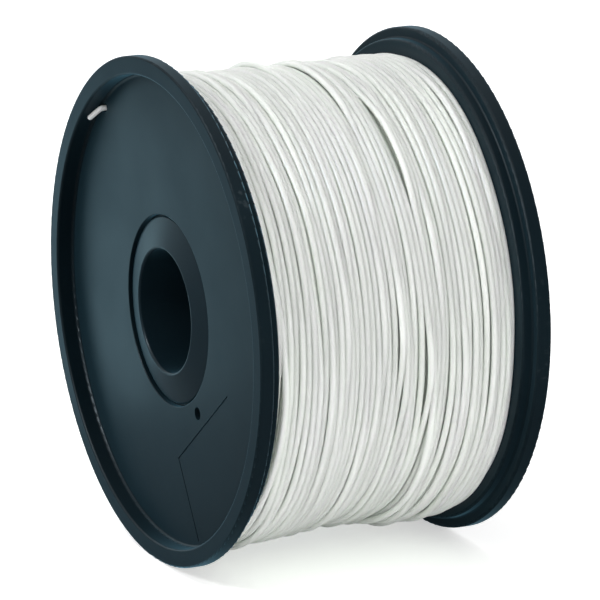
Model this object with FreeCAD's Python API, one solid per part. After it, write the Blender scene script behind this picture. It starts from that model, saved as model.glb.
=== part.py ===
"""A 1 kg filament spool in millimetres, as the pieces it is put together from.

Two flanges off one mould stand on the ends of a ribbed drum. A hub sleeve goes in from each side, and
its flared collar holds the flange against the drum. The filament is wound on the drum: it starts
through the far flange's anchor hole and ends through the near flange's tail hole.

The origin is on the bore's axis at mid-width. +Y runs along the axis to the far flange, +Z is up.
A depth is measured along the axis, inwards from the flange's outer face.
"""
import FreeCAD, Part
import math
import os

from FreeCAD import Vector

# Overall
FLANGE_RADIUS = 82.5
SPOOL_WIDTH = 101.0
BORE_RADIUS = 20.0

# Flange
RIM_THICKNESS = 4.8
RIM_FACE_WIDTH = 6.0
RECESS_DEPTH = 5.8
WEB_THICKNESS = 2.4
RIM_WALL = 2.4
RIM_OUTER_ROUNDING = 0.6
RIM_LIP_ROUNDING = 0.8
RIM_BACK_ROUNDING = 0.9
RECESS_ROOT_ROUNDING = 1.0
STEP_ROUNDING = 0.8
SPIGOT_HEIGHT = 3.0
SPIGOT_ROUNDING = 0.4
SEAT_DROP = 2.0
SEAT_EDGE_ROUNDING = 0.3

# Drum
DRUM_RADIUS = 33.5
DRUM_WALL = 2.2
HUB_TUBE_WALL = 2.2
RIB_COUNT = 6
RIB_THICKNESS = 2.0
RIB_ROOT = 0.5

# Hub sleeves
SLEEVE_WALL = 2.2
COLLAR_RADIUS = 30.3
COLLAR_CREST_RISE = 1.4
COLLAR_EDGE_DROP = 1.0
COLLAR_EDGE_ROUNDING = 0.6
BORE_MOUTH_ROUNDING = 0.8

# Holes and the moulded corner mark in each flange
ANCHOR_HOLE_RADIUS = 2.15
ANCHOR_HOLE_MARGIN = 0.55
ANCHOR_SEAT_MARGIN = 0.8
ANCHOR_HOLE_ANGLE = -51.5
TAIL_HOLE_RADIUS = 1.5
TAIL_HOLE_INSET = 2.1
TAIL_HOLE_ANGLE = 131.1
MARK_WIDTH = 0.5
MARK_DEPTH = 0.3
MARK_RADIUS = 48.0
MARK_START_ANGLE = -20.4
MARK_CORNER_ANGLE = -80.7
MARK_END_INSET = 2.1
MARK_END_ANGLE = -72.1

# Filament
FILAMENT_RADIUS = 0.875
WINDING_DROP = 6.5
WINDING_EDGE_ROUNDING = 0.6
STRAND_BEND_RADIUS = 1.3
STRAND_TIP_ROUNDING = 0.6
STRAND_BEND_RISE = 1.4
TAIL_RUN = 8.0
TAIL_RUN_ANGLE = 215.5
TAIL_TIP_RISE = 2.8
START_RUN = 9.0
START_RUN_ANGLE = 205.0
START_TIP_RISE = 1.2

# Clearances
SPIGOT_CLEARANCE = 0.15
SPIGOT_END_CLEARANCE = 0.2
SLEEVE_CLEARANCE = 0.05
SLEEVE_HOLE_CLEARANCE = 0.15
COLLAR_CLEARANCE = 0.8
WINDING_SIDE_CLEARANCE = 0.3
WINDING_CORE_CLEARANCE = 0.2

# Worked out from the sizes above
FACE_Y = -SPOOL_WIDTH / 2
RECESS_RADIUS = FLANGE_RADIUS - RIM_FACE_WIDTH
STEP_RADIUS = RECESS_RADIUS + RIM_WALL
WEB_BACK_DEPTH = RECESS_DEPTH + WEB_THICKNESS
SPIGOT_END_DEPTH = WEB_BACK_DEPTH + SPIGOT_HEIGHT
SEAT_DEPTH = RECESS_DEPTH + SEAT_DROP
SEAT_RADIUS = COLLAR_RADIUS + COLLAR_CLEARANCE
CREST_DEPTH = RECESS_DEPTH - COLLAR_CREST_RISE
COLLAR_EDGE_DEPTH = RECESS_DEPTH + COLLAR_EDGE_DROP
SLEEVE_RADIUS = BORE_RADIUS + SLEEVE_WALL
SLEEVE_HOLE_RADIUS = SLEEVE_RADIUS + SLEEVE_HOLE_CLEARANCE
HUB_TUBE_BORE = SLEEVE_RADIUS + SLEEVE_CLEARANCE
HUB_TUBE_RADIUS = HUB_TUBE_BORE + HUB_TUBE_WALL
DRUM_BORE = DRUM_RADIUS - DRUM_WALL
SPIGOT_RADIUS = DRUM_BORE - SPIGOT_CLEARANCE
ANCHOR_HOLE_INNER = max(DRUM_RADIUS + ANCHOR_HOLE_MARGIN, SEAT_RADIUS + ANCHOR_SEAT_MARGIN)
ANCHOR_HOLE_PITCH = ANCHOR_HOLE_INNER + ANCHOR_HOLE_RADIUS
TAIL_HOLE_PITCH = RECESS_RADIUS - TAIL_HOLE_INSET
WINDING_RADIUS = FLANGE_RADIUS - WINDING_DROP
WINDING_BORE = DRUM_RADIUS + WINDING_CORE_CLEARANCE
WINDING_SIDE_DEPTH = WEB_BACK_DEPTH + WINDING_SIDE_CLEARANCE

ORIGIN = Vector(0, 0, 0)
AXIS = Vector(0, 1, 0)
ACROSS = Vector(1, 0, 0)


def at_depth(radius, angle, depth):
    """The point of the near flange at this radius and angle (degrees from +X towards +Z)."""
    turn = math.radians(angle)
    return Vector(radius * math.cos(turn), FACE_Y + depth, radius * math.sin(turn))


def tangent_arc(corner, to_last, to_next, rounding):
    """The arc that rounds a corner, and its two ends, from the unit directions to its neighbours."""
    half = to_last.getAngle(to_next) / 2
    setback = rounding / math.tan(half)
    start = corner + to_last * setback
    end = corner + to_next * setback
    towards_centre = (to_last + to_next).normalize()
    middle = corner + towards_centre * (rounding / math.sin(half) - rounding)
    return Part.Arc(start, middle, end).toShape(), start, end


def direction(start, end):
    return (end - start).normalize()


def rounded_loop(corners):
    """A closed wire in the XY plane from (x, y, rounding) corners."""
    points = [Vector(x, y, 0) for x, y, _ in corners]
    arcs = []
    entries = []
    exits = []
    for index, (_, _, rounding) in enumerate(corners):
        here = points[index]
        entries.append(here)
        exits.append(here)
        if rounding:
            to_last = direction(here, points[index - 1])
            to_next = direction(here, points[(index + 1) % len(points)])
            arc, entries[index], exits[index] = tangent_arc(here, to_last, to_next, rounding)
            arcs.append(arc)
    lines = [Part.makeLine(exits[index - 1], entries[index]) for index in range(len(points))]
    return Part.Wire(Part.__sortEdges__(arcs + lines))


def turned(corners):
    """A solid of revolution about the bore's axis from (radius, y, rounding) corners."""
    return Part.Face(rounded_loop(corners)).revolve(ORIGIN, AXIS, 360)


def turned_from_face(corners):
    """The same, with each corner's place given as a depth below the near flange's outer face."""
    return turned([(radius, FACE_Y + depth, rounding) for radius, depth, rounding in corners])


def moved_to_far_side(shape):
    """The near side's piece, turned over to face outwards at the far side."""
    far = shape.copy()
    far.rotate(ORIGIN, ACROSS, 180)
    return far


def through_hole(pitch, angle, radius):
    """A cutter along the axis, right through the web."""
    return Part.makeCylinder(radius, SPIGOT_END_DEPTH, at_depth(pitch, angle, 0), AXIS)


def engraved_leg(start, end):
    """A round-ended groove cutter in the recess floor, from one point of the floor to another."""
    length = (end - start).Length
    height = 2 * MARK_DEPTH
    leg = Part.makeBox(length, height, MARK_WIDTH, Vector(0, -MARK_DEPTH, -MARK_WIDTH / 2))
    for along in (0, length):
        round_end = Part.makeCylinder(MARK_WIDTH / 2, height, Vector(along, -MARK_DEPTH, 0), AXIS)
        leg = leg.fuse(round_end)
    turn = FreeCAD.Rotation(ACROSS, direction(start, end))
    leg.Placement = FreeCAD.Placement(start, turn)
    return leg


def corner_mark():
    """The two engraved legs that meet in a corner on the recess floor."""
    inner_end = at_depth(MARK_RADIUS, MARK_START_ANGLE, RECESS_DEPTH)
    corner = at_depth(MARK_RADIUS, MARK_CORNER_ANGLE, RECESS_DEPTH)
    outer_end = at_depth(RECESS_RADIUS - MARK_END_INSET, MARK_END_ANGLE, RECESS_DEPTH)
    return engraved_leg(corner, inner_end).fuse(engraved_leg(corner, outer_end))


def flange():
    """The near flange: rim, recessed web, seat for the collar and spigot into the drum."""
    blank = turned_from_face([
        (SLEEVE_HOLE_RADIUS, SEAT_DEPTH, 0),
        (SEAT_RADIUS, SEAT_DEPTH, 0),
        (SEAT_RADIUS, RECESS_DEPTH, SEAT_EDGE_ROUNDING),
        (RECESS_RADIUS, RECESS_DEPTH, RECESS_ROOT_ROUNDING),
        (RECESS_RADIUS, 0, RIM_LIP_ROUNDING),
        (FLANGE_RADIUS, 0, RIM_OUTER_ROUNDING),
        (FLANGE_RADIUS, RIM_THICKNESS, RIM_BACK_ROUNDING),
        (STEP_RADIUS, RIM_THICKNESS, STEP_ROUNDING),
        (STEP_RADIUS, WEB_BACK_DEPTH, STEP_ROUNDING),
        (SPIGOT_RADIUS, WEB_BACK_DEPTH, 0),
        (SPIGOT_RADIUS, SPIGOT_END_DEPTH, SPIGOT_ROUNDING),
        (SLEEVE_HOLE_RADIUS, SPIGOT_END_DEPTH, 0),
    ])
    anchor = through_hole(ANCHOR_HOLE_PITCH, ANCHOR_HOLE_ANGLE, ANCHOR_HOLE_RADIUS)
    tail = through_hole(TAIL_HOLE_PITCH, TAIL_HOLE_ANGLE, TAIL_HOLE_RADIUS)
    return blank.cut(anchor.fuse(tail)).cut(corner_mark())


def tube(inner, outer, half_length):
    """A plain tube on the bore's axis, centred at mid-width."""
    base = Vector(0, -half_length, 0)
    outside = Part.makeCylinder(outer, 2 * half_length, base, AXIS)
    return outside.cut(Part.makeCylinder(inner, 2 * half_length, base, AXIS))


def drum():
    """The barrel that the filament is wound on, with its hub tube carried by radial ribs."""
    barrel_half = SPOOL_WIDTH / 2 - WEB_BACK_DEPTH
    core_half = SPOOL_WIDTH / 2 - SPIGOT_END_DEPTH - SPIGOT_END_CLEARANCE
    barrel = tube(DRUM_BORE, DRUM_RADIUS, barrel_half)
    pieces = [tube(HUB_TUBE_BORE, HUB_TUBE_RADIUS, core_half)]
    for index in range(RIB_COUNT):
        corner = Vector(HUB_TUBE_RADIUS - RIB_ROOT, -core_half, -RIB_THICKNESS / 2)
        reach = DRUM_BORE - HUB_TUBE_RADIUS + 2 * RIB_ROOT
        rib = Part.makeBox(reach, 2 * core_half, RIB_THICKNESS, corner)
        rib.rotate(ORIGIN, AXIS, index * 360 / RIB_COUNT)
        pieces.append(rib)
    return barrel.multiFuse(pieces).removeSplitter()


def hub_sleeve():
    """The near hub sleeve: half of the bore, with the flared collar that holds the flange."""
    return turned_from_face([
        (BORE_RADIUS, CREST_DEPTH, BORE_MOUTH_ROUNDING),
        (COLLAR_RADIUS, COLLAR_EDGE_DEPTH, COLLAR_EDGE_ROUNDING),
        (COLLAR_RADIUS, SEAT_DEPTH, 0),
        (SLEEVE_RADIUS, SEAT_DEPTH, 0),
        (SLEEVE_RADIUS, SPOOL_WIDTH / 2, 0),
        (BORE_RADIUS, SPOOL_WIDTH / 2, 0),
    ])


def winding():
    """The outer form of the wound filament, between the two webs."""
    side = SPOOL_WIDTH / 2 - WINDING_SIDE_DEPTH
    return turned([
        (WINDING_BORE, -side, 0),
        (WINDING_RADIUS, -side, WINDING_EDGE_ROUNDING),
        (WINDING_RADIUS, side, WINDING_EDGE_ROUNDING),
        (WINDING_BORE, side, 0),
    ])


def bent_strand(pitch, hole_angle, run, run_angle, tip_rise):
    """A strand's end: from the winding's side out through a hole, then bent over the recess floor."""
    root = at_depth(pitch, hole_angle, WINDING_SIDE_DEPTH)
    bend = at_depth(pitch, hole_angle, RECESS_DEPTH - STRAND_BEND_RISE)
    turn = math.radians(run_angle)
    tip = bend + Vector(run * math.cos(turn), STRAND_BEND_RISE - tip_rise, run * math.sin(turn))
    arc, entry, leave = tangent_arc(bend, direction(bend, root), direction(bend, tip), STRAND_BEND_RADIUS)
    path = Part.Wire([Part.makeLine(root, entry), arc, Part.makeLine(leave, tip)])
    section = Part.Wire(Part.makeCircle(FILAMENT_RADIUS, root, AXIS))
    strand = path.makePipeShell([section], True, True)
    tip_edge = min(strand.Edges, key=lambda edge: (edge.CenterOfMass - tip).Length)
    return strand.makeFillet(STRAND_TIP_ROUNDING, [tip_edge])


def filament_free_end():
    """The tail, tucked out through the near flange's tail hole."""
    return bent_strand(TAIL_HOLE_PITCH, TAIL_HOLE_ANGLE, TAIL_RUN, TAIL_RUN_ANGLE, TAIL_TIP_RISE)


def filament_start_end():
    """The inner end, anchored through the far flange's anchor hole."""
    near = bent_strand(ANCHOR_HOLE_PITCH, ANCHOR_HOLE_ANGLE, START_RUN, START_RUN_ANGLE, START_TIP_RISE)
    return moved_to_far_side(near)


def main():
    near_flange = flange()
    near_sleeve = hub_sleeve()
    nodes = {
        "near_flange": near_flange,
        "far_flange": moved_to_far_side(near_flange),
        "winding_drum": drum(),
        "near_hub_sleeve": near_sleeve,
        "far_hub_sleeve": moved_to_far_side(near_sleeve),
        "filament_winding": winding(),
        "filament_free_end": filament_free_end(),
        "filament_start_end": filament_start_end(),
    }
    os.makedirs("parts", exist_ok=True)
    for name, shape in nodes.items():
        shape.exportStep(f"parts/{name}.step")
        print(name, "solids", len(shape.Solids), "valid", shape.isValid(), "volume", round(shape.Volume, 1))


main()
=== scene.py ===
"""The looks of the filament spool: its winding strand by strand, its materials, the light and the camera.

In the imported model's frame: the bore's axis is Y, the near flange is at -Y, +Z is up. Metres
throughout, but millimetres in the section on the winding.
"""
import math

import bpy
import numpy as np
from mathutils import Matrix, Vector


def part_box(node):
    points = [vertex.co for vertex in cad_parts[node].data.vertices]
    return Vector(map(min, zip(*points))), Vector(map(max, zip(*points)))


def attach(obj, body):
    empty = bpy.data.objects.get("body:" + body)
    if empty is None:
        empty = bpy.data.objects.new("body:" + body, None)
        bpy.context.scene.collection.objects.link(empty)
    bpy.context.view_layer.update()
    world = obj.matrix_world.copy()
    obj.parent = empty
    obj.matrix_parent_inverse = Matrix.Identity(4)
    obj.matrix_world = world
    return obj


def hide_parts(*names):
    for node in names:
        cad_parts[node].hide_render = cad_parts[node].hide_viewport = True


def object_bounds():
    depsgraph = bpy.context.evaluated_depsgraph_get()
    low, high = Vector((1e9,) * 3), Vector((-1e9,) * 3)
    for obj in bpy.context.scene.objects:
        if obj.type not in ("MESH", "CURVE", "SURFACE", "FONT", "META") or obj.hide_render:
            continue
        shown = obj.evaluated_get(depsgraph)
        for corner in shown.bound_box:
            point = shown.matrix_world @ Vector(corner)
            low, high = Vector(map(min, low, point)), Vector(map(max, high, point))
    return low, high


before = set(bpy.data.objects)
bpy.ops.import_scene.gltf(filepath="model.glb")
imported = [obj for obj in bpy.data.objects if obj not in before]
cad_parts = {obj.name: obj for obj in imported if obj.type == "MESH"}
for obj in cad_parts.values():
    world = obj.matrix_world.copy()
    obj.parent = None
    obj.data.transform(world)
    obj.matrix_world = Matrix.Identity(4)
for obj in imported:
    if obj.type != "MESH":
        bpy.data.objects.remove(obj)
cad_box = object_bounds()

MM = 0.001
TURN = 2 * math.pi
FLANGE_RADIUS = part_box("near_flange")[1][0]


# ---------------------------------------------------------------- what the materials look like

IOR = 1.46
EVEN = (1.0, 1.0, 1.0)

# Noises: repeats per metre, detail, and how many times finer they are along X, Y and Z
CLOUDS = (14, 4.0, EVEN)
SPECKLE = (900, 2.0, EVEN)
SCUFF_LINES = (55, 6.0, (1.0, 6.0, 9.0))
SCUFF_PATCHES = (26, 2.0, EVEN)
PLASTIC_GLOSS = (30, 5.0, EVEN)
SINK_MARKS = (22, 1.0, EVEN)
GRAIN = (2600, 2.0, EVEN)
STRAND_TONE = (14, 1.0, (1.0, 32.0, 1.0))
FILAMENT_CLOUDS = (60, 3.0, EVEN)
FILAMENT_GLOSS = (45, 4.0, (1.0, 12.0, 1.0))
DRAW_LINES = (70, 2.0, (1.0, 60.0, 1.0))
PITS = (1500, 2.0, EVEN)
FLOOR_CLOUDS = (6, 3.0, EVEN)
NOISE_SPAN = (0.3, 0.7)

# Each plastic: its darkest and lightest tone, its roughness from and to, its sheen and what is made of it
PLASTICS = {
    "flange_plastic": ((0.0018, 0.0060, 0.0090), (0.0035, 0.0100, 0.0140), (0.34, 0.46), 0.32,
                       ("near_flange", "far_flange")),
    "hub_plastic": ((0.0030, 0.0085, 0.0125), (0.0060, 0.0150, 0.0210), (0.28, 0.40), 0.12,
                    ("near_hub_sleeve", "far_hub_sleeve")),
    "drum_plastic": ((0.0040, 0.0080, 0.0110), (0.0070, 0.0130, 0.0170), (0.42, 0.55), 0.3,
                     ("winding_drum",)),
}
PLASTIC_SPECULAR = 0.10
SHEEN_ROUGHNESS = 0.32
SHEEN_TINT = (0.3, 0.74, 1.0, 1.0)
CLOUDS_AND_SPECKLE = (0.85, 0.15)
BODY_SPAN = (0.32, 0.68)
SINKS_AND_GRAIN = (1.0, 0.035)
PLASTIC_BUMP = {"Strength": 0.35, "Distance": 0.0004}

# Scuffs: where their two noises show, the radii over which they come in, and how much they change
SCUFF_LINE_SPAN = (0.60, 0.72)
SCUFF_PATCH_SPAN = (0.52, 0.66)
SCUFFED_RADII = (FLANGE_RADIUS - 0.0037, FLANGE_RADIUS + 0.0001)
SCUFFED_ELSEWHERE = 0.12
SCUFF_COLOUR = (0.16, 0.19, 0.20, 1.0)
SCUFF_TINT = 0.1
SCUFF_ROUGHNESS = 0.2

# The rim's flat ring is rougher than the recess, and comes in over these radii
RIM_RADII = (FLANGE_RADIUS - 0.0063, FLANGE_RADIUS - 0.0051)
RIM_ROUGHNESS = 0.12

FILAMENT_TONES = ((0.3, (0.85, 0.94, 0.82)), (0.5, (0.885, 0.965, 0.86)), (0.7, (0.94, 0.975, 0.93)))
FILAMENT_ROUGHNESS = (0.34, 0.52)
FILAMENT_SPECULAR = 0.35
FILAMENT_DEPTH = 0.008
TONE_AND_CLOUDS = (0.65, 0.35)
LINES_AND_PITS = (1.0, 0.25)
FILAMENT_BUMP = {"Strength": 0.3, "Distance": 0.00012}
FILAMENT_NODES = ("filament_free_end", "filament_start_end")


# ---------------------------------------------------------------- shader graphs

# A Mix node's sockets when it mixes colours
MIX_FACTOR, MIX_FIRST, MIX_SECOND, MIX_COLOUR = 0, 6, 7, 2


def blank_tree(owner):
    """The emptied shader graph of a new material or world."""
    owner.use_nodes = True
    owner.node_tree.nodes.clear()
    return owner.node_tree


def add(tree, kind, inputs=None, **settings):
    """A new node; an input is given by name or number, as a number, a colour or another node's output."""
    node = tree.nodes.new("ShaderNode" + kind)
    for name, value in settings.items():
        setattr(node, name, value)
    for key, value in (inputs or {}).items():
        if isinstance(value, bpy.types.NodeSocket):
            tree.links.new(value, node.inputs[key])
        else:
            node.inputs[key].default_value = value
    return node


def math_node(tree, operation, *values, clamp=False):
    return add(tree, "Math", dict(enumerate(values)), operation=operation, use_clamp=clamp).outputs[0]


def weighed(tree, values, weights):
    """Two values added up, each times its weight."""
    return math_node(tree, "ADD", *(math_node(tree, "MULTIPLY", value, weight)
                                    for value, weight in zip(values, weights)))


def noise(tree, coords, repeats, detail, finer):
    """Smooth noise, nearly all of it within NOISE_SPAN."""
    moved = add(tree, "Mapping", {"Vector": coords, "Scale": [repeats * part for part in finer]})
    return add(tree, "TexNoise", {"Vector": moved.outputs[0], "Scale": 1.0, "Detail": detail}).outputs[0]


def ramp(tree, value, stops):
    """A colour ramp through (place, colour) stops."""
    node = add(tree, "ValToRGB", {0: value})
    elements = node.color_ramp.elements
    for index, (place, colour) in enumerate(stops):
        element = elements[index] if index < 2 else elements.new(place)
        element.position = place
        element.color = (*colour, 1.0)
    return node.outputs[0]


def spread(tree, value, low, high, span=NOISE_SPAN):
    """value carried over from span to low..high, and held beyond it."""
    return add(tree, "MapRange", {0: value, 1: span[0], 2: span[1], 3: low, 4: high}).outputs[0]


def new_material(name):
    material = bpy.data.materials.new(name)
    tree = blank_tree(material)
    return material, tree, add(tree, "TexCoord").outputs["Object"]


def surface(tree, height, bump, inputs):
    """The material's shader and output, with bump from height."""
    normal = add(tree, "Bump", {"Height": height, **bump}).outputs[0]
    shader = add(tree, "BsdfPrincipled", {"IOR": IOR, "Normal": normal, **inputs})
    add(tree, "OutputMaterial", {"Surface": shader.outputs[0]})


def moulded_plastic(name, dark, light, roughness, sheen):
    """Satin injection-moulded plastic: cloudy tone, fine grain, faint sink marks and scuffed rims."""
    material, tree, coords = new_material(name)
    flat = add(tree, "VectorMath", {0: coords, 1: (1.0, 0.0, 1.0)}, operation="MULTIPLY").outputs[0]
    radius = add(tree, "VectorMath", {0: flat}, operation="LENGTH").outputs["Value"]

    scuffs = math_node(tree, "MULTIPLY",
                       spread(tree, noise(tree, coords, *SCUFF_LINES), 0.0, 1.0, SCUFF_LINE_SPAN),
                       spread(tree, noise(tree, coords, *SCUFF_PATCHES), 0.0, 1.0, SCUFF_PATCH_SPAN))
    near_edge = spread(tree, radius, 0.0, 1.0, SCUFFED_RADII)
    exposed = math_node(tree, "ADD", near_edge, SCUFFED_ELSEWHERE)
    worn = math_node(tree, "MULTIPLY", scuffs, exposed, clamp=True)

    tone = weighed(tree, (noise(tree, coords, *CLOUDS), noise(tree, coords, *SPECKLE)), CLOUDS_AND_SPECKLE)
    body = ramp(tree, tone, zip(BODY_SPAN, (dark, light)))
    colour = add(tree, "Mix", {MIX_FACTOR: math_node(tree, "MULTIPLY", worn, SCUFF_TINT),
                               MIX_FIRST: body, MIX_SECOND: SCUFF_COLOUR}, data_type="RGBA")

    gloss = spread(tree, noise(tree, coords, *PLASTIC_GLOSS), *roughness)
    rougher_rim = spread(tree, radius, 0.0, RIM_ROUGHNESS, RIM_RADII)
    gloss = math_node(tree, "ADD", gloss, rougher_rim)
    gloss = math_node(tree, "ADD", gloss, math_node(tree, "MULTIPLY", worn, SCUFF_ROUGHNESS))

    height = weighed(tree, (noise(tree, coords, *SINK_MARKS), noise(tree, coords, *GRAIN)), SINKS_AND_GRAIN)
    surface(tree, height, PLASTIC_BUMP, {
        "Base Color": colour.outputs[MIX_COLOUR],
        "Roughness": gloss,
        "Specular IOR Level": PLASTIC_SPECULAR,
        "Sheen Weight": sheen,
        "Sheen Roughness": SHEEN_ROUGHNESS,
        "Sheen Tint": SHEEN_TINT,
    })
    return material


def extruded_filament(name):
    """White extruded filament: each strand a little different in tone, with fine draw lines along it."""
    material, tree, coords = new_material(name)
    tone = weighed(tree, (noise(tree, coords, *STRAND_TONE), noise(tree, coords, *FILAMENT_CLOUDS)),
                   TONE_AND_CLOUDS)
    height = weighed(tree, (noise(tree, coords, *DRAW_LINES), noise(tree, coords, *PITS)), LINES_AND_PITS)
    surface(tree, height, FILAMENT_BUMP, {
        "Base Color": ramp(tree, tone, FILAMENT_TONES),
        "Roughness": spread(tree, noise(tree, coords, *FILAMENT_GLOSS), *FILAMENT_ROUGHNESS),
        "Specular IOR Level": FILAMENT_SPECULAR,
        "Subsurface Weight": 1.0,
        "Subsurface Radius": EVEN,
        "Subsurface Scale": FILAMENT_DEPTH,
    })
    return material


def dress(node, material):
    """material in every slot of a CAD node."""
    slots = bpy.data.objects[node].data.materials
    if len(slots) == 0:
        slots.append(material)
    for index in range(len(slots)):
        slots[index] = material


for plastic, (*look, nodes) in PLASTICS.items():
    moulded = moulded_plastic(plastic, *look)
    for node in nodes:
        dress(node, moulded)
filament = extruded_filament("filament")
for node in FILAMENT_NODES:
    dress(node, filament)


# ---------------------------------------------------------------- the winding, in millimetres

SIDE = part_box("filament_winding")[1][1] / MM
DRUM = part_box("winding_drum")[1][0] / MM

# A strand's radius where it lies on others, and as drawn, a little fatter so that turns touch
STRAND = 0.875
STRAND_DRAWN = 1.03
SIDES_OF_STRAND = 8
FLANGE_GAP = 0.03
REACH = SIDE - STRAND - FLANGE_GAP
TAIL_ANGLE = math.radians(131.1)

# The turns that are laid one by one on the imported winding; SAMPLES are in one turn
PACKED_RADIUS = 69.0
LAYERS = 3
TURNS_PER_LAYER = 44
SAMPLES = 180
LAYER_SAMPLES = TURNS_PER_LAYER * SAMPLES

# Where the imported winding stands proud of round: angle, place along the axis, how far each way, height
LUMPS = (
    (-84.0, -25.0, 38.0, 9.0, 3.8),
    (-80.0, 31.0, 45.0, 9.0, 2.6),
    (-15.0, 42.0, 60.0, 9.0, 1.5),
    (30.0, -10.0, 50.0, 14.0, 0.3),
    (200.0, 12.0, 50.0, 12.0, 0.8),
    (107.0, 8.0, 40.0, 5.0, -0.6),
    (107.0, 26.0, 40.0, 8.0, 0.5),
)

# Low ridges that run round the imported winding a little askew: waves round, pitches from and to, height
RIDGE_KINDS = (
    (1, (5, 8), 0.32),
    (2, (6, 10), 0.34),
    (2, (8, 14), 0.38),
    (3, (6, 9), 0.26),
    (4, (10, 16), 0.22),
)

# The sway that neighbouring turns share: waves round and size, pitches from and to, each layer's share
SWAY_KINDS = ((1, 0.5), (2, 0.45), (3, 0.4), (4, 0.32), (5, 0.26), (6, 0.16))
SWAY_PITCHES = (9.0, 24.0)
SWAY_SHARES = (0.1, 0.22, 0.62)
SWAY_BLUR = 8

# Each turn's own wander: size and the samples over which it changes, and each layer's share
WANDERS = ((0.20, 55), (0.11, 28))
WANDER_SHARES = (0.3, 0.4, 1.0)

# How a turn finds its place: a map of heights with narrow columns, and slides towards the lowest ground.
# The blurs, and the dips that a strand bridges, are in samples.
COLUMN = 0.1
MAP_MARGIN = 1
SLIDES = np.linspace(-0.8, 0.8, 9)
SLIDE_COST = 0.3
SLIDE_ROUNDS = 3
SLIDE_SHARE = 0.7
SLIDE_BLUR = 7
BRIDGED_DIP = 2
TURN_BLUR = 2.0
RADIUS_BLUR = 1.5
ALONG_BLUR = 2.0

# The core below the laid turns: ridged sides, and a smooth top that the turns cover
DRUM_GAP = 0.2
RIDGE_STEPS = 4
RIDGE_DIP = 0.45
TOP_INSET = 0.5
TOP_STEPS = 60

rng = np.random.default_rng(20)
RIDGES = [(waves * rng.choice([-1, 1]), rng.uniform(*pitches), rng.uniform(0, TURN), height)
          for waves, pitches, height in RIDGE_KINDS]
SWAYS = [[(waves, rng.uniform(*SWAY_PITCHES) * rng.choice([-1, 1]), rng.uniform(0, TURN), size * share)
          for waves, size in SWAY_KINDS] for share in SWAY_SHARES]


def askew_wave(angle, along, waves, pitch, phase, size):
    """A wave with so many crests to a turn, which moves round by one of them every pitch along the axis."""
    return size * np.sin(waves * angle + TURN * along / pitch + phase)


def packed_radius(angle, along):
    """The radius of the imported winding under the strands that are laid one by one."""
    radius = np.full(np.broadcast(angle, along).shape, PACKED_RADIUS)
    for lump_angle, lump_along, wide, long, height in LUMPS:
        off = (np.degrees(angle) - lump_angle + 180.0) % 360.0 - 180.0
        radius = radius + height * np.exp(-0.5 * (off / wide) ** 2 - 0.5 * ((along - lump_along) / long) ** 2)
    for ridge in RIDGES:
        radius = radius + askew_wave(angle, along, *ridge)
    return radius


def shared_sway(angle, along, layer):
    """The sway that a layer's neighbouring turns share."""
    total = np.zeros(len(angle))
    for number, sways in enumerate(SWAYS):
        for sway in sways:
            total += np.where(layer == number, askew_wave(angle, along, *sway), 0.0)
    return total


def smooth_run(count, reach):
    """Seeded noise along a run, of unit spread, that changes over about reach samples."""
    knots = rng.standard_normal(int(count / reach) + 4)
    place = np.arange(count) / reach + 1
    whole = place.astype(int)
    part = place - whole
    ease = part * part * (3 - 2 * part)
    return knots[whole] * (1 - ease) + knots[whole + 1] * ease


def ends_held(values, half):
    """values with each end repeated half times beyond it."""
    return np.concatenate([np.full(half, values[0]), values, np.full(half, values[-1])])


def blurred(values, spread_samples):
    """values blurred along the run, with the ends held."""
    half = int(3 * spread_samples) + 1
    weights = np.exp(-0.5 * (np.arange(-half, half + 1) / spread_samples) ** 2)
    return np.convolve(ends_held(values, half), weights / weights.sum(), mode="valid")


def highest_nearby(values, half):
    """Each value's highest neighbour within half samples."""
    padded = ends_held(values, half)
    return np.max([padded[shift:shift + len(values)] for shift in range(2 * half + 1)], axis=0)


def within_reach(along):
    return np.clip(along, -REACH, REACH)


def wound_evenly():
    """Each sample's angle and place along the axis, before the turns find their places on the others."""
    count = LAYERS * LAYER_SAMPLES
    step = np.arange(count)
    layer = step // LAYER_SAMPLES
    angle = TAIL_ANGLE + TURN * (step - count + 1) / SAMPLES
    part = (step % LAYER_SAMPLES) / LAYER_SAMPLES
    forward = (layer + LAYERS) % 2 == 0
    along = np.where(forward, -REACH + 2 * REACH * part, REACH - 2 * REACH * part)
    along = along + blurred(shared_sway(angle, along, layer), SWAY_BLUR)
    wander = sum(size * smooth_run(count, reach) for size, reach in WANDERS)
    return angle, within_reach(along + wander * np.array(WANDER_SHARES)[layer])


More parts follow.
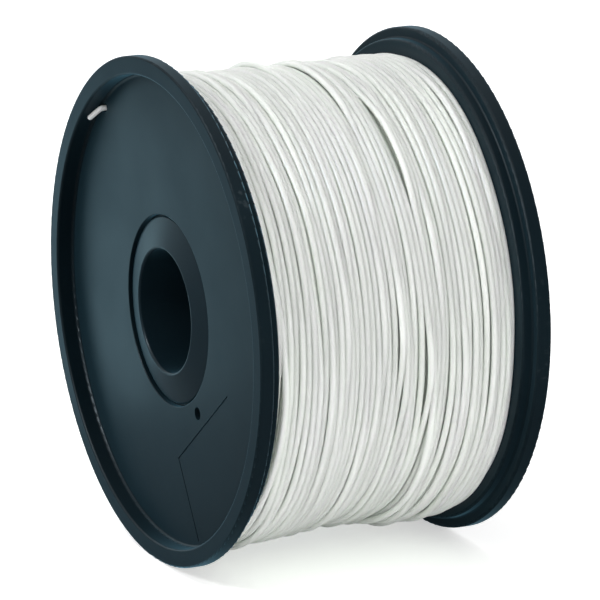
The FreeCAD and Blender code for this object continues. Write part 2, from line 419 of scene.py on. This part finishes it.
def wound_path():
    """The strand's centre line: angle, radius and place along the axis, turn upon turn."""
    angle, along = wound_evenly()
    count = len(angle)
    edges = np.arange(-SIDE - MAP_MARGIN, SIDE + MAP_MARGIN + COLUMN, COLUMN)
    ring = TURN * np.arange(SAMPLES) / SAMPLES
    first_row = int(round(angle[0] % TURN / TURN * SAMPLES))
    ground = packed_radius((ring + angle[0] - ring[first_row % SAMPLES])[:, None], edges[None, :])
    half = int(STRAND / COLUMN)
    across = np.arange(-half, half + 1)
    crown = np.sqrt(STRAND ** 2 - (across * COLUMN) ** 2)

    def columns_at(where):
        return np.round((where - edges[0]) / COLUMN).astype(int)

    def resting(rows, where):
        return (ground[rows[:, None], columns_at(where)[:, None] + across] + crown).max(axis=1)

    radius = np.empty(count)
    for first in range(0, count, SAMPLES):
        rows = (first_row + first + np.arange(SAMPLES)) % SAMPLES
        here = along[first:first + SAMPLES]
        for _ in range(SLIDE_ROUNDS):
            cost = np.array([resting(rows, within_reach(here + slide)) + SLIDE_COST * slide ** 2
                             for slide in SLIDES])
            here = within_reach(here + SLIDE_SHARE * blurred(SLIDES[cost.argmin(axis=0)], SLIDE_BLUR))
        height = blurred(highest_nearby(resting(rows, here), BRIDGED_DIP), TURN_BLUR)
        along[first:first + SAMPLES] = here
        radius[first:first + SAMPLES] = height
        columns = columns_at(here)
        for offset, lift in zip(across, crown):
            ground[rows, columns + offset] = np.maximum(ground[rows, columns + offset], height + lift)
    return angle, blurred(radius, RADIUS_BLUR), within_reach(blurred(along, ALONG_BLUR))


def on_axis(angle, radius, along):
    """Points in metres from angles, radii and places along the axis."""
    return np.stack([radius * np.cos(angle), along, radius * np.sin(angle)], axis=-1) * MM


def new_piece(name, points, faces):
    """A piece of the winding, from points in metres."""
    mesh = bpy.data.meshes.new(name)
    mesh.from_pydata(points.tolist(), [], faces)
    mesh.update()
    mesh.shade_smooth()
    piece = bpy.data.objects.new(name, mesh)
    bpy.context.scene.collection.objects.link(piece)
    mesh.materials.append(filament)
    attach(piece, "root")
    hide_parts("filament_winding")


def tube_mesh(name, points, radius):
    """A closed round tube along points, with flat ends."""
    ahead = np.gradient(points, axis=0)
    ahead /= np.linalg.norm(ahead, axis=1)[:, None]
    outward = points * (1, 0, 1)
    outward -= (outward * ahead).sum(axis=1)[:, None] * ahead
    outward /= np.linalg.norm(outward, axis=1)[:, None]
    beside = np.cross(ahead, outward)
    turn = TURN * np.arange(SIDES_OF_STRAND) / SIDES_OF_STRAND
    rings = points[:, None, :] + radius * (np.cos(turn)[None, :, None] * outward[:, None, :]
                                           + np.sin(turn)[None, :, None] * beside[:, None, :])
    count = len(points)
    ring, side = np.meshgrid(np.arange(count - 1), np.arange(SIDES_OF_STRAND), indexing="ij")
    next_side = (side + 1) % SIDES_OF_STRAND
    here = ring * SIDES_OF_STRAND
    there = here + SIDES_OF_STRAND
    faces = np.stack([here + side, there + side, there + next_side, here + next_side],
                     axis=-1).reshape(-1, 4).tolist()
    faces.append(list(range(SIDES_OF_STRAND)))
    faces.append(list(range(count * SIDES_OF_STRAND - 1, (count - 1) * SIDES_OF_STRAND - 1, -1)))
    new_piece(name, rings.reshape(-1, 3), faces)


def packed_core():
    """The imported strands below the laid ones: ridged sides, and a top that follows the winding's lumps."""
    ridge = 2 * STRAND
    inner = DRUM + DRUM_GAP
    rows = int((PACKED_RADIUS - inner) / ridge)
    wave = np.arange(RIDGE_STEPS) / RIDGE_STEPS
    up = np.concatenate([inner + ridge * (row + wave) for row in range(rows)])
    dip = np.tile(RIDGE_DIP * (1 - np.sin(math.pi * wave)), rows)
    top = np.linspace(-SIDE + TOP_INSET, SIDE - TOP_INSET, TOP_STEPS)

    # Round the section: up the near side, along the top and down the far side
    radii = np.concatenate([up, np.zeros(TOP_STEPS), up[::-1]])[None, :]
    along = np.concatenate([-SIDE + dip, top, (SIDE - dip)[::-1]])[None, :]
    on_top = np.concatenate([np.zeros(len(up)), np.ones(TOP_STEPS), np.zeros(len(up))])[None, :]
    angle = TURN * np.arange(SAMPLES)[:, None] / SAMPLES
    radius = radii * (1 - on_top) + packed_radius(angle, along) * on_top
    points = on_axis(angle, radius, np.broadcast_to(along, radius.shape)).reshape(-1, 3)

    wide = radii.size
    ring, place = np.meshgrid(np.arange(SAMPLES), np.arange(wide), indexing="ij")
    here, there = ring * wide, (ring + 1) % SAMPLES * wide
    next_place = (place + 1) % wide
    faces = np.stack([here + place, here + next_place, there + next_place, there + place], axis=-1)
    new_piece("winding_core", points, faces.reshape(-1, 4).tolist())


centre_line = on_axis(*wound_path())
for layer in range(LAYERS):
    start = layer * LAYER_SAMPLES
    tube_mesh(f"winding_layer_{layer + 1}", centre_line[start:start + LAYER_SAMPLES + 1], STRAND_DRAWN * MM)
packed_core()


# ---------------------------------------------------------------- floor, light and camera

FLOOR_RADIUS = 8
FLOOR_SIDES = 64
FLOOR_TONES = ((0.3, (0.86, 0.86, 0.86)), (0.7, (0.90, 0.90, 0.90)))
FLOOR_GLOW = 0.50
WHITE = (1, 1, 1, 1)

# What gloss sees: a share of the floor's glow, a dimmed floor, and a world that darkens to one side
GLOSS_SHARE = 0.1
GLOSS_DIM = 0.80
DIM_SIDE = (0.93, -0.2, -0.05)
DIM_SPAN = (-0.1, 0.55)
GLOSS_AT_DIM_SIDE = 0.05
WORLD_LEVEL = 0.70

AZIMUTH, ELEVATION, DISTANCE = math.radians(64.442), math.radians(15.734), 1.78116
CAMERA_RIGHT, CAMERA_DOWN = 0.002010, 0.001840
SENSOR_WIDTH, LENS = 36, 330.17
CLIP_END = 50


def white_where_shown(tree, path, glossy_share):
    """1 for rays that show the background straight, glossy_share in gloss, and 0 for light on surfaces."""
    in_gloss = math_node(tree, "MULTIPLY", path.outputs["Is Glossy Ray"], glossy_share)
    seen = math_node(tree, "ADD", path.outputs["Is Camera Ray"], path.outputs["Is Transmission Ray"])
    return math_node(tree, "ADD", seen, in_gloss, clamp=True)


def pale_floor(height):
    """A matte floor that glows white where the background shows, keeps shadows, and is clear from below."""
    material, tree, coords = new_material("pale_floor")
    tone = ramp(tree, noise(tree, coords, *FLOOR_CLOUDS), FLOOR_TONES)
    path = add(tree, "LightPath")
    dimming = math_node(tree, "MULTIPLY", path.outputs["Is Glossy Ray"], GLOSS_DIM)
    shade = add(tree, "VectorMath", {0: tone, "Scale": math_node(tree, "SUBTRACT", 1.0, dimming)},
                operation="SCALE").outputs[0]
    matte = add(tree, "BsdfDiffuse", {"Color": shade})
    strength = math_node(tree, "MULTIPLY", white_where_shown(tree, path, GLOSS_SHARE), FLOOR_GLOW)
    glow = add(tree, "Emission", {"Color": WHITE, "Strength": strength})
    both = add(tree, "AddShader", {0: matte.outputs[0], 1: glow.outputs[0]})
    under = add(tree, "NewGeometry").outputs["Backfacing"]
    clear = add(tree, "BsdfTransparent")
    mixed = add(tree, "MixShader", {0: under, 1: both.outputs[0], 2: clear.outputs[0]})
    add(tree, "OutputMaterial", {"Surface": mixed.outputs[0]})
    mesh = bpy.data.meshes.new("floor")
    angles = [TURN * index / FLOOR_SIDES for index in range(FLOOR_SIDES)]
    mesh.from_pydata([(FLOOR_RADIUS * math.cos(angle), FLOOR_RADIUS * math.sin(angle), height)
                      for angle in angles], [], [list(range(FLOOR_SIDES))])
    mesh.materials.append(material)
    floor = bpy.data.objects.new("floor", mesh)
    bpy.context.scene.collection.objects.link(floor)


def studio_world():
    """Even light from all round, and white where the camera looks; gloss sees less at the camera's side."""
    world = bpy.data.worlds.new("studio")
    tree = blank_tree(world)
    path = add(tree, "LightPath")
    look = add(tree, "TexCoord").outputs["Generated"]
    towards = add(tree, "VectorMath", {0: look, 1: DIM_SIDE}, operation="DOT_PRODUCT").outputs["Value"]
    gloss = spread(tree, towards, 1.0, GLOSS_AT_DIM_SIDE, DIM_SPAN)
    seen = white_where_shown(tree, path, gloss)
    not_gloss = math_node(tree, "SUBTRACT", 1.0, path.outputs["Is Glossy Ray"])
    strength = math_node(tree, "MAXIMUM", seen, math_node(tree, "MULTIPLY", not_gloss, WORLD_LEVEL))
    background = add(tree, "Background", {"Color": WHITE, "Strength": strength})
    add(tree, "OutputWorld", {"Surface": background.outputs[0]})
    bpy.context.scene.world = world


def soft_lamp(name, place, size, level, tall=None, target=(0, 0, 0), colour=(1, 1, 1), **seen_by):
    """A rectangular lamp; level is how bright it shows white matte paper at the target, 1 being white.

    tall is its height where that isn't size, and seen_by turns off what the lamp isn't seen in.
    """
    away = Vector(place) - Vector(target)
    data = bpy.data.lights.new(name, "AREA")
    data.shape = "RECTANGLE"
    data.size = size
    data.size_y = tall or size
    data.energy = level * math.pi ** 2 * away.length ** 2
    data.color = colour
    lamp = bpy.data.objects.new(name, data)
    lamp.location = place
    lamp.rotation_euler = (-away).to_track_quat("-Z", "Y").to_euler()
    lamp.visible_camera = False
    for setting, value in seen_by.items():
        setattr(lamp, setting, value)
    bpy.context.scene.collection.objects.link(lamp)


def view_camera():
    """The camera, which looks past the origin from a little to the right of it and below."""
    away = Vector((math.sin(AZIMUTH) * math.cos(ELEVATION), -math.cos(AZIMUTH) * math.cos(ELEVATION),
                   math.sin(ELEVATION)))
    right = Vector((math.cos(AZIMUTH), math.sin(AZIMUTH), 0))
    up = away.cross(right)
    data = bpy.data.cameras.new("camera")
    data.sensor_width = SENSOR_WIDTH
    data.lens = LENS
    data.clip_end = CLIP_END
    camera = bpy.data.objects.new("camera", data)
    camera.location = away * DISTANCE + right * CAMERA_RIGHT - up * CAMERA_DOWN
    camera.rotation_euler = (-away).to_track_quat("-Z", "Y").to_euler()
    bpy.context.scene.collection.objects.link(camera)
    bpy.context.scene.camera = camera


pale_floor(cad_box[0][2])
studio_world()
soft_lamp("top_lamp", (-0.1, -0.25, 1.4), size=1.3, level=0.34)
soft_lamp("key_lamp", (0.0, -1.2, 0.9), size=0.18, level=0.30, visible_glossy=False)
soft_lamp("edge_lamp", (0.0, -1.2, 0.9), size=0.18, level=1.8, colour=(0.75, 0.9, 1.0),
          visible_diffuse=False)
soft_lamp("left_lamp", (-0.145, -0.087, -0.016), size=0.05, tall=0.12, level=0.15,
          target=(0, -0.05, 0), colour=(0.52, 0.86, 1.0))
soft_lamp("front_lamp", (1.1, 0.0, -0.02), size=0.12, level=0.42, visible_glossy=False)
view_camera()
bpy.context.scene.view_settings.view_transform = "Standard"
